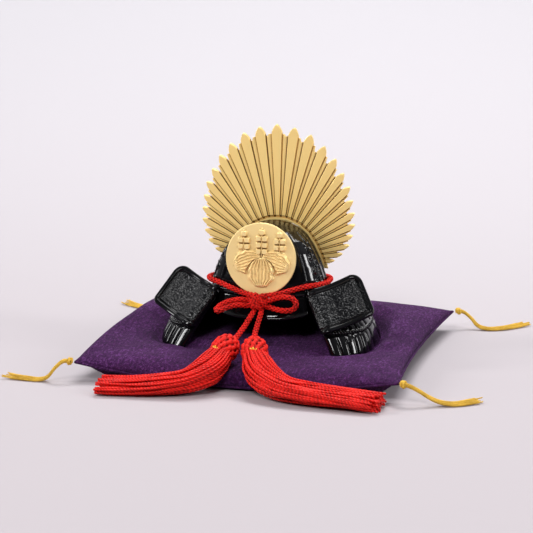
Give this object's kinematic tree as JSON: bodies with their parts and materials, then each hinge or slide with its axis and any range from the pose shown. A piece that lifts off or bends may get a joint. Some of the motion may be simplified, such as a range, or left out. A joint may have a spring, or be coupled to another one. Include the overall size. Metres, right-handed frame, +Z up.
{
  "type": "ornamental samurai helmet on cushion",
  "caption": "Miniature kabuto with ribbed bowl, flared neck guard, turned-back wings, fan rear crest, flower disc and red tasselled chin cord, standing on a square crepe cushion",
  "frame": {"origin": "on the floor under the middle of the cushion", "axes": "+Z up, the helmet's front towards -Y, its left-right line along X"},
  "size_m": [0.2382, 0.2047, 0.1196],
  "materials": {
    "black_gloss": "glossy black lacquer paint on cast metal",
    "black_grain": "satin black paint over a cast leather grain",
    "gold": "matte pale gold plating",
    "pale_gold": "matte pale gold plating with a sand-cast grain",
    "red_cord": "bright red braided rayon cord",
    "purple_crepe": "purple crepe cloth",
    "gold_thread": "yellow gold twisted thread"
  },
  "bodies": {
    "root": {"bowl": "black_gloss", "visor": "black_gloss", "neck_guard": "black_gloss", "wing_right": "black_grain", "wing_left": "black_grain", "fan_crest": "gold", "crest_disc": "pale_gold", "chin_cord": "red_cord", "bow_knot": "red_cord", "bow_loop_right": "red_cord", "bow_loop_left": "red_cord", "cord_tail_left": "red_cord", "cord_tail_right": "red_cord", "tassel_left": "red_cord", "tassel_right": "red_cord", "cushion": "purple_crepe", "corner_tassel_front_left": "gold_thread", "corner_tassel_front_right": "gold_thread", "corner_tassel_back_right": "gold_thread", "corner_tassel_back_left": "gold_thread"}
  },
  "joints": []
}
